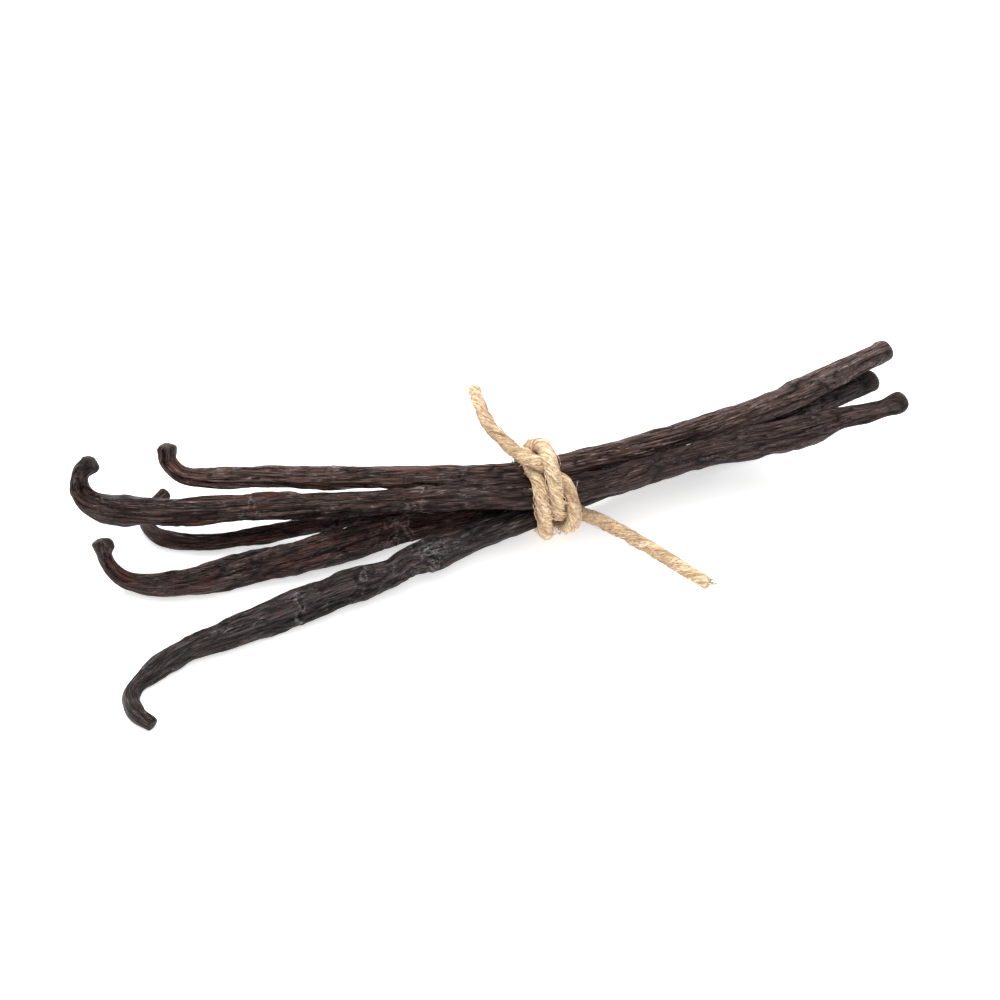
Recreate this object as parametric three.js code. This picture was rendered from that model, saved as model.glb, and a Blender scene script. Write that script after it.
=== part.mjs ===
// A bundle of five dried vanilla pods, tied at the waist with one piece of twine.
// Millimetres, +X along the bundle, +Z up. The hooked stem ends are at -X.
import * as THREE from 'three';
import { mergeVertices } from 'three/addons/utils/BufferGeometryUtils.js';

// Pod section
const podSides = 14;
const podRingStep = 2.6;
const podFlatness = 0.9;
const podRidgeCount = 3;
const podRidgeDepth = 0.04;
const domeAngles = [38, 68];

// Twine
const twineDiameter = 2.7;
const twineClearance = 0.3;
const twineSides = 9;
const twineRingStep = 1.5;
const twineStrands = 3;
const twineStrandDepth = 0.08;
const twineLay = 11;

// Each pod: its centre line from the hooked stem end, its width at distances along
// that line, how far its stem end and its far end bulge, over their radius, and dents as
// [distance, length, depth over the radius, side in degrees]: 0 is the front, -Y, 90 the
// top, 180 the back and 270 the underside.
const pods = [
  {
    name: 'pod_top_back',
    colour: 0x33241f,
    roughness: 0.5,
    route: [
      [-76.2, 28.5, 16.2], [-76.4, 27.5, 13.5], [-74.4, 24.7, 11.9], [-68.9, 21.7, 11.8],
      [-57.9, 18.6, 11.8], [-43, 13.5, 12.1], [-23, 7.1, 13.1], [-5.5, 1.1, 14.5], [9, 0.6, 15],
      [27, 2.7, 13.9], [46, 3.9, 15.7], [66, 8.2, 17], [77.5, 10.2, 18.7],
    ],
    widths: [
      [0, 3.9], [5, 3.5], [12, 3.9], [28, 4.7], [38, 5.4], [56, 4.8], [72, 4.6], [85, 5],
      [97, 5.9], [125, 5.9], [150, 5.5], [159, 4.7], [165, 4.5],
    ],
    bulges: [0.45, 0.85],
    dents: [[66, 2.5, 0.16, 315]],
  },
  {
    name: 'pod_top_front',
    colour: 0x2d1f1b,
    roughness: 0.48,
    route: [
      [-92.8, 28.5, 16.2], [-94.8, 28.9, 14.2], [-95.6, 27.8, 10.9], [-94.6, 25.1, 9.5],
      [-91, 22, 9.2], [-84.7, 19, 9.3], [-74, 15.1, 9.8], [-64.8, 12.7, 10.3], [-46, 6.8, 11.5],
      [-20, -0.8, 13.7], [-3, -5, 14.1], [9, -5.5, 14.1], [28, -3.7, 14.1], [53.1, -3.7, 14.3],
      [64.1, -2.9, 14.8], [69.5, -3.3, 15.3], [75.3, -3.3, 16.1],
    ],
    widths: [
      [0, 4.3], [4, 3.5], [12, 5.1], [18, 6.3], [50, 6], [85, 5.8], [100, 6.2], [115, 5.7],
      [138, 6.4], [157, 7.3], [167, 7.2], [177, 4.9], [182, 4.6], [187, 5.3],
    ],
    bulges: [0.7, 0.95],
    dents: [[172, 3, 0.2, 315]],
  },
  {
    name: 'pod_low_back',
    colour: 0x36221d,
    roughness: 0.5,
    route: [
      [-77.7, 29.1, 2.9], [-81.4, 26.5, 1.8], [-83.2, 22.7, 1.6], [-81.2, 17.5, 1.9],
      [-75, 13.4, 2.4], [-64, 11.1, 3.1], [-46.9, 8.7, 5], [-20, 5.3, 8.7], [-5, 3.5, 10.4],
      [8, 3.9, 10.7], [28, 7, 9.6], [53, 11, 6.8],
    ],
    widths: [
      [0, 2.7], [9, 3.1], [16, 3.7], [28, 3.5], [42, 4.1], [70, 4.3], [130, 4.2], [148, 3.6], [152, 4],
    ],
    bulges: [0.45, 0.9],
    dents: [],
  },
  {
    name: 'pod_bottom',
    colour: 0x3b231f,
    roughness: 0.46,
    route: [
      [-94.2, 11.6, 9.8], [-93.8, 9.3, 5.9], [-91.3, 6.2, 3.5], [-86.4, 4, 2.7], [-77.9, 2, 3],
      [-64.1, 1.7, 3.5], [-45, 1.9, 4.3], [-20, 1.4, 5.5], [-5, 1.4, 5.9], [8, 2.5, 5.6],
      [28, 5.8, 3.7], [49.9, 9.6, 2.1],
    ],
    widths: [
      [0, 4], [4, 3.2], [12, 4.1], [20, 5.8], [34, 6.8], [49, 7.4], [58, 7], [66, 6.1], [75, 5.4],
      [140, 5.2], [150, 4], [154, 4.2],
    ],
    bulges: [0.45, 0.9],
    dents: [],
  },
  {
    name: 'pod_low_front',
    colour: 0x2c2624,
    roughness: 0.42,
    route: [
      [-94, -32.1, 1.6], [-96.2, -28.7, 1.7], [-96.1, -23.2, 1.8], [-91.5, -19.4, 2.2],
      [-83, -16.1, 2.7], [-66.1, -12.9, 3.3], [-47, -9.7, 4.2], [-38.6, -9.3, 4.8],
      [-34.1, -7.7, 5.3], [-21, -6.5, 6.4], [-8, -4.9, 7.8], [7, -2.2, 8.5], [27, 1.4, 8.1],
      [46, 4.5, 9.5], [62, 6.1, 11.9], [73.2, 6.6, 14.1],
    ],
    widths: [
      [0, 2.6], [5, 3.4], [12, 3.4], [18, 4.9], [30, 5.6], [45, 7.1], [64, 7.1], [71, 5.4],
      [80, 6.9], [90, 5.6], [125, 5.4], [150, 4.9], [165, 4.4], [185, 4.7],
    ],
    bulges: [0.4, 0.9],
    dents: [[31, 3, 0.14, 135]],
  },
];

const upAxis = new THREE.Vector3(0, 0, 1);

function smoothLine(points) {
  const curve = new THREE.CatmullRomCurve3(points.map((p) => new THREE.Vector3(...p)));
  curve.arcLengthDivisions = 800;
  return curve;
}

// Width at a distance along a pod, straight between the stated places.
function widthAt(widths, distance) {
  for (let i = 1; i < widths.length; i += 1) {
    const [from, widthFrom] = widths[i - 1];
    const [to, widthTo] = widths[i];
    if (distance <= to) {
      const share = Math.max(0, (distance - from) / (to - from));
      return THREE.MathUtils.lerp(widthFrom, widthTo, share);
    }
  }
  return widths[widths.length - 1][1];
}

// Places along a curve with a side vector that turns as little as the curve allows.
function framesAlong(curve, step) {
  const length = curve.getLength();
  const count = Math.round(length / step);
  const frames = [];
  for (let i = 0; i <= count; i += 1) {
    const share = i / count;
    frames.push({ at: share * length, point: curve.getPointAt(share), along: curve.getTangentAt(share) });
  }
  const middle = Math.floor(count / 2);
  const carry = (frame, side) => {
    frame.side = side.clone().addScaledVector(frame.along, -side.dot(frame.along)).normalize();
    return frame.side;
  };
  let side = carry(frames[middle], frames[middle].along.clone().cross(upAxis));
  for (let i = middle + 1; i <= count; i += 1) {
    side = carry(frames[i], side);
  }
  side = frames[middle].side;
  for (let i = middle - 1; i >= 0; i -= 1) {
    side = carry(frames[i], side);
  }
  return frames;
}

// A turned rod, bent along the frames. The section function gives the distance of a
// surface point from the centre line, as [sideways, upwards], for an angle and a place.
function bentRod(frames, sides, profileRings, section) {
  const outline = profileRings.map(({ scale, offset }) => new THREE.Vector2(scale, offset));
  const rod = new THREE.LatheGeometry(outline, sides);
  rod.deleteAttribute('normal');
  rod.deleteAttribute('uv');
  const position = rod.attributes.position;
  for (let i = 0; i < position.count; i += 1) {
    const ring = profileRings[i % profileRings.length];
    const frame = frames[ring.frame];
    const angle = Math.atan2(position.getZ(i), position.getX(i));
    const [sideways, upwards] = section(angle, frame.at);
    const point = frame.point.clone();
    point.addScaledVector(frame.along, ring.offset - frame.at);
    point.addScaledVector(frame.side, sideways * ring.scale);
    point.addScaledVector(frame.side.clone().cross(frame.along), upwards * ring.scale);
    position.setXYZ(i, point.x, point.y, point.z);
  }
  return rod;
}

function finish(geometry, name, colour, roughness) {
  const welded = mergeVertices(geometry, 1e-5);
  welded.computeVertexNormals();
  const material = new THREE.MeshStandardMaterial({ color: colour, roughness, metalness: 0 });
  const mesh = new THREE.Mesh(welded, material);
  mesh.name = name;
  return mesh;
}

// Rings beyond an end that close it: a low bulge is squarer, a high one rounder.
function bulgeRings(radius, bulge) {
  const rings = domeAngles.map((degrees) => {
    const angle = THREE.MathUtils.degToRad(degrees);
    return { scale: Math.cos(angle) ** bulge, beyond: radius * bulge * Math.sin(angle) };
  });
  return [...rings, { scale: 0, beyond: radius * bulge }];
}

function buildPod(pod) {
  const frames = framesAlong(smoothLine(pod.route), podRingStep);
  const last = frames.length - 1;
  const length = frames[last].at;
  const [stemBulge, farBulge] = pod.bulges;
  const stemRings = bulgeRings(widthAt(pod.widths, 0) / 2, stemBulge).reverse();
  const farRings = bulgeRings(widthAt(pod.widths, length) / 2, farBulge);
  const rings = [
    ...stemRings.map(({ scale, beyond }) => ({ frame: 0, scale, offset: -beyond })),
    ...frames.map((frame, i) => ({ frame: i, scale: 1, offset: frame.at })),
    ...farRings.map(({ scale, beyond }) => ({ frame: last, scale, offset: length + beyond })),
  ];
  const section = (angle, at) => {
    let radius = widthAt(pod.widths, at) / 2;
    radius *= 1 + podRidgeDepth * (Math.cos(podRidgeCount * angle) - 1);
    for (const [place, reach, depth, degrees] of pod.dents) {
      const near = Math.exp(-(((at - place) / reach) ** 2));
      const facing = Math.max(0, Math.cos(angle - THREE.MathUtils.degToRad(degrees)));
      radius *= 1 - depth * near * facing;
    }
    return [radius * Math.cos(angle), podFlatness * radius * Math.sin(angle)];
  };
  return finish(bentRod(frames, podSides, rings, section), pod.name, pod.colour, pod.roughness);
}

// Centre and radius of each pod where it passes a place along the bundle.
const waistReach = 60;
const waistLines = pods.map((pod) => framesAlong(smoothLine(pod.route), 0.5)
  .filter(({ point }) => Math.abs(point.x) < waistReach)
  .map(({ point, at }) => ({ point, radius: widthAt(pod.widths, at) / 2 })));

function podsAt(x) {
  return waistLines.map((line) => {
    const next = line.findIndex(({ point }) => point.x >= x);
    const share = (x - line[next - 1].point.x) / (line[next].point.x - line[next - 1].point.x);
    const centre = line[next - 1].point.clone().lerp(line[next].point, share);
    return { centre, radius: line[next].radius };
  });
}

// Where the twine's centre line lies on the outside of the pods, at a place along the
// bundle and an angle around it: 0 behind, 90 on top, 180 in front, 270 below.
function wrapPoint([x, degrees, lift]) {
  const angle = THREE.MathUtils.degToRad(degrees);
  const outward = new THREE.Vector3(0, Math.cos(angle), Math.sin(angle));
  const reach = ({ centre, radius }) => centre.dot(outward) + radius;
  const outermost = podsAt(x).reduce((best, pod) => (reach(pod) > reach(best) ? pod : best));
  const distance = outermost.radius + twineDiameter / 2 + twineClearance + lift;
  return outermost.centre.clone().addScaledVector(outward, distance).toArray();
}

// The twine comes in from its back tail and over the front pods' shoulder, given as
// [place, angle, lift over the pods]. It goes round twice, rises over the back tail in a
// loop, and leaves under its own first turn.
const backTail = [
  [-12.7, 16.5, 27], [-12.9, 12, 26.3], [-12.4, 7.3, 24.9], [-10.6, 3.4, 23.7], [-8.4, -0.7, 22.6],
  [-6.4, -3.2, 22.1], [-4.9, -4.4, 21.6], [-3.2, -4.6, 20.2], [-1.6, -5.9, 18.8],
];
const overShoulder = [[-0.3, 118, 0.4], [0.2, 138, 0.1]];
const firstTurnFront = [[0.6, -10.6, 13.6], [0.6, -11.2, 11.6], [0.5, -10.9, 9.5], [0.2, -9.4, 7.3]];
const firstTurn = [
  [-0.1, 232, 0], [-0.2, 262, 0], [-0.2, 295, 0], [-0.3, 325, 0], [-1.2, 345, 0], [-3.2, 364, 0],
  [-5, 386, 0], [-5.7, 408, 0], [-5.8, 430, 0], [-5.7, 450, 0],
];
const secondTurn = [
  [-5.6, 470, 0], [-5.7, 500, 0], [-5.4, 540, 0], [-4.6, 570, 0], [-4, 600, 0], [-3.9, 628, 0],
  [-3.9, 658, 0], [-3.9, 684, 0.9], [-3.6, 702, 2.9], [-3, 722, 3.2], [-2.7, 742, 2.5], [-2.6, 760, 1.2],
];
const knotLoop = [
  [-2.6, 3.4, 19.3], [-2.5, 2.3, 21.4], [-2.5, 0.4, 23.2], [-2.6, -2.3, 24.1], [-2.9, -5.2, 23.8],
  [-3.1, -8, 21.4], [-2.9, -9.8, 17.4], [-2.5, -9.9, 14.2], [-1.5, -9.1, 11.8],
];
const frontTail = [
  [0.6, -7.8, 10.2], [4, -9, 9], [7.3, -13, 9.2], [14, -20.8, 7.8], [23, -31.5, 5],
];

function buildTwine() {
  const route = [
    ...backTail,
    ...overShoulder.map(wrapPoint),
    ...firstTurnFront,
    ...[...firstTurn, ...secondTurn].map(wrapPoint),
    ...knotLoop,
    ...frontTail,
  ];
  const frames = framesAlong(smoothLine(route), twineRingStep);
  const last = frames.length - 1;
  const rings = [
    { frame: 0, scale: 0, offset: 0 },
    ...frames.map((frame, i) => ({ frame: i, scale: 1, offset: frame.at })),
    { frame: last, scale: 0, offset: frames[last].at },
  ];
  const section = (angle, at) => {
    const turned = twineStrands * angle + 2 * Math.PI * (at / twineLay);
    const radius = (twineDiameter / 2) * (1 + twineStrandDepth * (Math.cos(turned) - 1));
    return [radius * Math.cos(angle), radius * Math.sin(angle)];
  };
  return finish(bentRod(frames, twineSides, rings, section), 'twine', 0xd6b98c, 0.9);
}

const bundle = new THREE.Group();
bundle.name = 'vanilla_pod_bundle';
bundle.add(...pods.map(buildPod), buildTwine());

// The origin is under the middle of the bundle, on the surface that it lies on.
const box = new THREE.Box3().setFromObject(bundle);
const centre = box.getCenter(new THREE.Vector3());
for (const mesh of bundle.children) {
  mesh.geometry.translate(-centre.x, -centre.y, -box.min.z);
}

export default bundle;
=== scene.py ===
"""A bundle of five dried vanilla pods tied with jute twine, dressed over its solids."""

import math

import bpy
import numpy as np
from mathutils import Matrix, Vector


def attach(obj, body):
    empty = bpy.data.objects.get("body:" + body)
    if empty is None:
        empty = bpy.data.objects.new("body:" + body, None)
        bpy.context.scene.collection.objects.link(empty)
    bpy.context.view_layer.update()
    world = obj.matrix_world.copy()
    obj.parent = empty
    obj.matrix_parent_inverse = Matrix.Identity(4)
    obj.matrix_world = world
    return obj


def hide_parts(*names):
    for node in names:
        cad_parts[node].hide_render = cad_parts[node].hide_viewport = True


MM = 0.001
TINY = 1e-9

# The routes below are in millimetres from a point on the floor under the waist.
# This carries them to the part's own origin.
ROUTE_TO_FRAME = (9.337, 1.164, -0.228)

# Fineness of the curves between two points, and of the pods' and the twine's meshes.
SPAN_STEPS = 48
POD_RING_STEP = 0.28
POD_SIDES = 120
STRAND_RING_STEP = 0.34
STRAND_SIDES = 20
FIBRE_SIDES = 3
END_RINGS = 10
# Rows that a table of noise has past the last whole cell.
NOISE_MARGIN = 3

# Pod section, as in the solids. Wrinkles have their stated height at the full radius.
POD_FLATNESS = 0.9
RIDGE_COUNT = 3
RIDGE_DEPTH = 0.04
FULL_RADIUS = 2.8

# Each pod: its centre line from the hooked stem end, its width at distances along that
# line, how far its two ends bulge over their radius, and dents as (distance, reach, depth
# over the radius, side in degrees). Sides: 0 is the front, -Y, 90 the top, 180 the back and
# 270 the underside. Pits are small dents of the skin alone, or small lobes where the depth
# is negative; a deeper pit is also darkened with painted shade. Creases are (distance,
# reach, depth, frost), where the skin is gathered across the pod; the frost is pale flecks
# with painted glints. Pits and creases are measured from the tip of the stem end. The skin
# goes from dark to brown, with red streaks, a painted sheen on lit ridges towards the far
# end, and painted glints. Turns are those of the skin's lines along the pod.
PODS = {
    "pod_top_back": {
        "route": [
            (-76.2, 28.5, 16.2), (-76.4, 27.5, 13.5), (-74.4, 24.7, 11.9), (-68.9, 21.7, 11.8),
            (-57.9, 18.6, 11.8), (-43, 13.5, 12.1), (-23, 7.1, 13.1), (-5.5, 1.1, 14.5), (9, 0.6, 15),
            (27, 2.7, 13.9), (46, 3.9, 15.7), (66, 8.2, 17), (77.5, 10.2, 18.7),
        ],
        "widths": [
            (0, 3.9), (5, 3.5), (12, 3.9), (28, 4.7), (38, 5.4), (56, 4.8), (72, 4.6), (85, 5),
            (97, 5.9), (125, 5.9), (150, 5.5), (159, 4.7), (165, 4.5),
        ],
        "bulges": (0.45, 0.85),
        "dents": [(66, 2.5, 0.16, 315)],
        "pits": [
            (1.2, 0.8, 0.16, 60), (46, 7, 0.2, 300), (108, 22, 0.2, 308), (165.2, 1.3, 0.28, 30),
            (164, 1, -0.1, 135),
        ],
        "creases": [(38, 2, 0.14, 0.15), (67, 3, 0.2, 0.2), (150, 9, 0.14, 0.3)],
        "dark": (0.04, 0.0195, 0.0155),
        "brown": (0.12, 0.066, 0.053),
        "red": (0.16, 0.062, 0.04),
        "painted_sheen": (0.18, 0.123, 0.114),
        "painted_glint": (0.36, 0.285, 0.265),
        "turns": 0.35,
        "seed": 11,
    },
    "pod_top_front": {
        "route": [
            (-92.8, 28.5, 16.2), (-94.8, 28.9, 14.2), (-95.6, 27.8, 10.9), (-94.6, 25.1, 9.5),
            (-91, 22, 9.2), (-84.7, 19, 9.3), (-74, 15.1, 9.8), (-64.8, 12.7, 10.3), (-46, 6.8, 11.5),
            (-20, -0.8, 13.7), (-3, -5, 14.1), (9, -5.5, 14.1), (28, -3.7, 14.1), (53.1, -3.7, 14.3),
            (64.1, -2.9, 14.8), (69.5, -3.3, 15.3), (75.3, -3.3, 16.1),
        ],
        "widths": [
            (0, 4.3), (4, 3.5), (12, 5.1), (18, 6.3), (50, 6), (85, 5.8), (100, 6.2), (115, 5.7),
            (138, 6.4), (157, 7.3), (167, 7.2), (177, 4.9), (182, 4.6), (187, 5.3),
        ],
        "bulges": (0.7, 0.95),
        "dents": [(172, 3, 0.2, 315)],
        "pits": [
            (1.5, 1.2, 0.3, 45), (72, 7, 0.12, 135), (131, 20, 0.2, 138), (183.5, 2.2, 0.14, 135),
            (183.5, 2.2, 0.14, 315), (187.7, 1.2, 0.27, 40),
        ],
        "creases": [(6, 6, 0.2, 0.25), (46, 2, 0.24, 1), (80.5, 2.6, 0.2, 0.9), (166, 4, 0.2, 0.15)],
        "dark": (0.018, 0.0078, 0.006),
        "brown": (0.05, 0.024, 0.019),
        "red": (0.08, 0.026, 0.015),
        "painted_sheen": (0.09, 0.058, 0.053),
        "painted_glint": (0.21, 0.155, 0.145),
        "turns": -0.3,
        "seed": 23,
    },
    "pod_low_back": {
        "route": [
            (-77.7, 29.1, 2.9), (-81.4, 26.5, 1.8), (-83.2, 22.7, 1.6), (-81.2, 17.5, 1.9),
            (-75, 13.4, 2.4), (-64, 11.1, 3.1), (-46.9, 8.7, 5), (-20, 5.3, 8.7), (-5, 3.5, 10.4),
            (8, 3.9, 10.7), (28, 7, 9.6), (53, 11, 6.8),
        ],
        "widths": [
            (0, 2.7), (9, 3.1), (16, 3.7), (28, 3.5), (42, 4.1), (70, 4.3), (130, 4.2), (148, 3.6),
            (152, 4),
        ],
        "bulges": (0.45, 0.9),
        "dents": [],
        "pits": [],
        "creases": [(54, 6, 0.16, 0.35)],
        "dark": (0.022, 0.009, 0.0075),
        "brown": (0.058, 0.025, 0.02),
        "red": (0.08, 0.024, 0.016),
        "painted_sheen": (0.06, 0.033, 0.028),
        "painted_glint": (0.16, 0.11, 0.1),
        "turns": 0.4,
        "seed": 37,
    },
    "pod_bottom": {
        "route": [
            (-94.2, 11.6, 9.8), (-93.8, 9.3, 5.9), (-91.3, 6.2, 3.5), (-86.4, 4, 2.7), (-77.9, 2, 3),
            (-64.1, 1.7, 3.5), (-45, 1.9, 4.3), (-20, 1.4, 5.5), (-5, 1.4, 5.9), (8, 2.5, 5.6),
            (28, 5.8, 3.7), (49.9, 9.6, 2.1),
        ],
        "widths": [
            (0, 4), (4, 3.2), (12, 4.1), (20, 5.8), (34, 6.8), (49, 7.4), (58, 7), (66, 6.1),
            (75, 5.4), (140, 5.2), (150, 4), (154, 4.2),
        ],
        "bulges": (0.45, 0.9),
        "dents": [],
        "pits": [(1.6, 1.1, -0.3, 126), (3.3, 0.9, 0.12, 126), (0.8, 0.8, 0.2, 40), (71, 6, -0.24, 135)],
        "creases": [(3, 4, 0.2, 0.3), (37, 2, 0.1, 0.15), (68, 5, 0.2, 0.7)],
        "dark": (0.019, 0.0078, 0.0065),
        "brown": (0.053, 0.023, 0.018),
        "red": (0.11, 0.029, 0.017),
        "painted_sheen": (0.06, 0.033, 0.027),
        "painted_glint": (0.18, 0.12, 0.105),
        "turns": -0.45,
        "seed": 41,
    },
    "pod_low_front": {
        "route": [
            (-94, -32.1, 1.6), (-96.2, -28.7, 1.7), (-96.1, -23.2, 1.8), (-91.5, -19.4, 2.2),
            (-83, -16.1, 2.7), (-66.1, -12.9, 3.3), (-47, -9.7, 4.2), (-38.6, -9.3, 4.8),
            (-34.1, -7.7, 5.3), (-21, -6.5, 6.4), (-8, -4.9, 7.8), (7, -2.2, 8.5), (27, 1.4, 8.1),
            (46, 4.5, 9.5), (62, 6.1, 11.9), (73.2, 6.6, 14.1),
        ],
        "widths": [
            (0, 2.6), (5, 3.4), (12, 3.4), (18, 4.9), (30, 5.6), (45, 7.1), (64, 7.1), (71, 5.4),
            (80, 6.9), (90, 5.6), (125, 5.4), (150, 4.9), (165, 4.4), (185, 4.7),
        ],
        "bulges": (0.4, 0.9),
        "dents": [(31, 3, 0.14, 135)],
        "pits": [(183, 1.7, 0.36, 50)],
        "creases": [
            (49, 1.8, 0.22, 0.9), (64, 3.5, 0.14, 0.6), (71, 2, 0.22, 0.7), (79, 4, 0.14, 0.8),
            (170, 9, 0.16, 0.35),
        ],
        "dark": (0.014, 0.0095, 0.0085),
        "brown": (0.042, 0.029, 0.026),
        "red": (0.053, 0.026, 0.021),
        "painted_sheen": (0.07, 0.051, 0.047),
        "painted_glint": (0.2, 0.165, 0.158),
        "turns": 0.3,
        "seed": 59,
    },
}

# Each noise of the skin has seeds of its own, counted from the pod's seed.
SEEDS = {
    "meander": 0, "swell": 10, "fold": 20, "fold break": 30, "net patch": 40, "net": 41,
    "shift": 50, "crease break": 55, "gather": 60,
}
# Lumps and wandering of the skin: how many fit round a pod, their reach and size.
SWELLS = [(3, 10, 0.15), (4, 4, 0.1)]
MEANDERS = [(4, 26, 0.35), (8, 6, 0.12)]

# Folds along a pod: how many fit round it, how far one runs, the rise of its ridges and
# how wide the painted shade in its valley is, over its height.
FOLDS = [(8, 17, 0.8, 0.065), (15, 9, 0.6, 0.09), (27, 5.5, 0.36, 0.15)]
# Folds are broken here and there, and less so with a higher share.
FOLD_SHARE = 0.8
# The usual height of a fold's wave, taken off so that the pod keeps its width.
USUAL_RISE = 0.3

# Patches of fine netting across the folds: patches round a pod and their reach, and how
# sharp their edges are. Then the net: cells round the pod and their reach, their rise, and
# how wide and how dark the painted shade in the lines between them is.
NET_PATCHES = (3, 11)
NET_EDGE = 2.5
NET_CELLS = (16, 1)
NET_RISE = 0.09
NET_LINE = 0.09
NET_SHADE = 0.8

# Creases are strongest on one side, in degrees: their least share and the gain towards it.
CREASE_SIDE = 45
CREASE_LEAST = 0.3
CREASE_GAIN = 1.2
# How a crease shifts along the pod: waves round the pod, their reach and size.
SHIFT_WAVES = (6, 2.5)
SHIFT_SIZE = 1.3
# How it is broken: waves round the pod, their reach and size, and the share they change.
BREAK_WAVES = (6, 1.8)
BREAK_SIZE = 1.5
BREAK_SHARE = 0.7
# Gathers in a crease: how many fit round the pod and their reach, how dark the painted
# shade in them is, the height at which frost with painted glints lies on them, and how
# wide its line is.
GATHERS = (22, 0.9)
GATHER_SHADE = 2
FROST_AND_GLINT_HEIGHT = 0.1
FROST_AND_GLINT_LINE = 0.22

# How narrow a pit is round the pod, and how its painted shade starts and grows with its depth.
PIT_FOCUS = 3
PIT_SHADE_GAIN = 7
PIT_SHADE_START = 0.8
# How far the ragged colour of an end reaches.
END_REACH = 1.6

# Noises of the pods' material: cells per millimetre across, across and along the pod.
POD_NOISES = {
    "streaks": {"stretch": (0.9, 0.9, 0.045), "detail": 4, "roughness": 0.6},
    "fibres": {"stretch": (2.2, 2.2, 0.085), "detail": 2, "roughness": 0.6},
    "glint_and_net_noise": {"stretch": (0.35, 0.35, 0.14), "detail": 2},
    "patches": {"stretch": (0.4, 0.4, 0.07), "detail": 2},
    "grain": {"stretch": (7, 7, 2.5), "detail": 3, "roughness": 0.6},
}
# Its thin lines, with their width on the value of the noise. The deep, fine and net lines
# are sunk as relief and darkened with painted shade; the glints are painted highlights.
POD_LINES = {
    "deep": {"stretch": (0.9, 0.9, 0.06), "width": 0.03},
    "fine": {"stretch": (1.9, 1.9, 0.09), "width": 0.035},
    "net": {"stretch": (1.5, 1.5, 0.6), "width": 0.03},
    "painted_glints": {"stretch": (1.4, 1.4, 0.11), "width": 0.02},
}
# Its masks: the noise that each one reads, and the values where it starts and is full.
POD_MASKS = {
    "glint_and_net_patches": ("glint_and_net_noise", 0.42, 0.56),
    "red patch": ("patches", 0.44, 0.62),
    "red fibre": ("fibres", 0.5, 0.6),
    "painted_sheen_fibre": ("fibres", 0.38, 0.52),
    "ragged": ("grain", 0.42, 0.68),
    "frost_and_glint_grain": ("grain", 0.47, 0.56),
}
# Where the lines' net and the painted sheen start and are full, as shares of the pod's length.
NET_STRETCH = (0.5, 0.8)
PAINTED_SHEEN_STRETCH = (0.5, 0.9)
# The tone is mixed from two noises, and goes from dark to brown over a range.
STREAK_PART = 0.3
FIBRE_PART = 0.7
TONE_RANGE = (0.42, 0.56)
# How strongly the fine lines, the net and the painted sheen show, and the painted shade of
# all lines and of all furrows.
FINE_SHARE = 0.75
NET_SHARE = 0.9
PAINTED_SHEEN_SHARE = 0.85
PAINTED_LINE_SHARE = 0.8
PAINTED_FURROW_SHARE = 0.95
# The nearly black colour of the painted shade in furrows.
PAINTED_FURROW_SHADE = (0.003, 0.002, 0.002)
TIP_COLOURS = ((0.035, 0.027, 0.023), (0.12, 0.095, 0.082))
# Frost flecks with painted glints.
FROST_AND_GLINT_COLOUR = (0.36, 0.33, 0.32)
# Roughness over a range of the fibres' noise, and relief in millimetres.
POD_ROUGHNESS = {"low": 0.35, "high": 0.65, "out_low": 0.25, "out_high": 0.4}
POD_SPECULAR = 0.16
FIBRE_RELIEF = 0.8
LINE_RELIEF = -0.2
GRAIN_RELIEF = 0.08
GRAIN_STRENGTH = 0.6
# The noise's middle value, along which thin lines run, and their detail.
NOISE_MIDDLE = 0.5
LINE_DETAIL = 2.0
# The sockets of a mix node that are for colours.
MIX_FIRST = 6
MIX_SECOND = 7
MIX_RESULT = 2

# The twine's own size, its distance from the pods, and the length of one turn of its
# strands.
TWINE_DIAMETER = 2.7
TWINE_CLEARANCE = 0.3
TWINE_LAY = 15.0
TWINE_SEED = 71
# Strands: their radius, their distance from the twine's middle, how pale each one is, and
# how far apart they lie in the texture and their seeds.
STRAND_RADIUS = 0.97
STRAND_OFFSET = 0.38
STRAND_SHADES = (0.38, 0.5, 0.62)
TEXTURE_SPACING = 4
STRAND_SEED_STEP = 10
# How a strand wanders off its helix and how it swells: over which length, by which share.
STRAND_WANDER = (7, 0.12)
STRAND_SWELL = (5, 0.1)
# Ridges on a strand: the length of one turn, how many fit round it, their reach and rise.
RIDGE_LAY = 9
STRAND_RIDGES = (9, 4)
STRAND_RIDGE_RISE = 0.07
# Strands are thicker in the knot: where it starts and ends on the twine's length, how
# sharply, and by which share.
KNOT_START = 0.12
KNOT_END = 0.86
KNOT_EDGE = 8
KNOT_LOOSENESS = 0.26
# The front end flares: where on the twine's length, over which share of it, and how much.
FLARE_PLACE = 0.98
FLARE_REACH = 0.03
FLARE_SIZE = 0.14
# How narrow a strand's last rings are, and how far its tips stand past them.
LAST_RING = 0.85
STRAND_TIP = 0.3

# Fuzz that leaves the twine and comes back: how many fibres, their shortest and longest
# run in rings, usual lift, radius, and stretch of the twine's length.
FUZZ = [(1100, 14, 36, 0.12, 0.05, (0.0, 1.0)), (420, 10, 30, 0.36, 0.095, (0.22, 0.84))]
# It starts a little under the surface, uses each second ring, and its turn round the
# twine, lean, radius and paleness vary.
FUZZ_DEPTH = 0.03
FUZZ_STRIDE = 2
FUZZ_DRIFT = (-0.6, 1)
FUZZ_LEAN = (0.5, 2)
FUZZ_SPREAD = (0.6, 1.4)
FUZZ_SHADES = (0, 1.2)
# Loose fibre ends: where most stand on the twine's length and their spread, how far one
# starts under the surface, and how it leaves the twine.
STRAYS = {
    "count": 110, "middle": 0.5, "spread": 0.2, "depth": 0.1, "outward": 0.7, "slant": 0.9,
    "bend": 0.5, "length": (0.6, 1.6), "radius": (0.035, 0.065), "shade": (0.3, 1.2),
}
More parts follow.
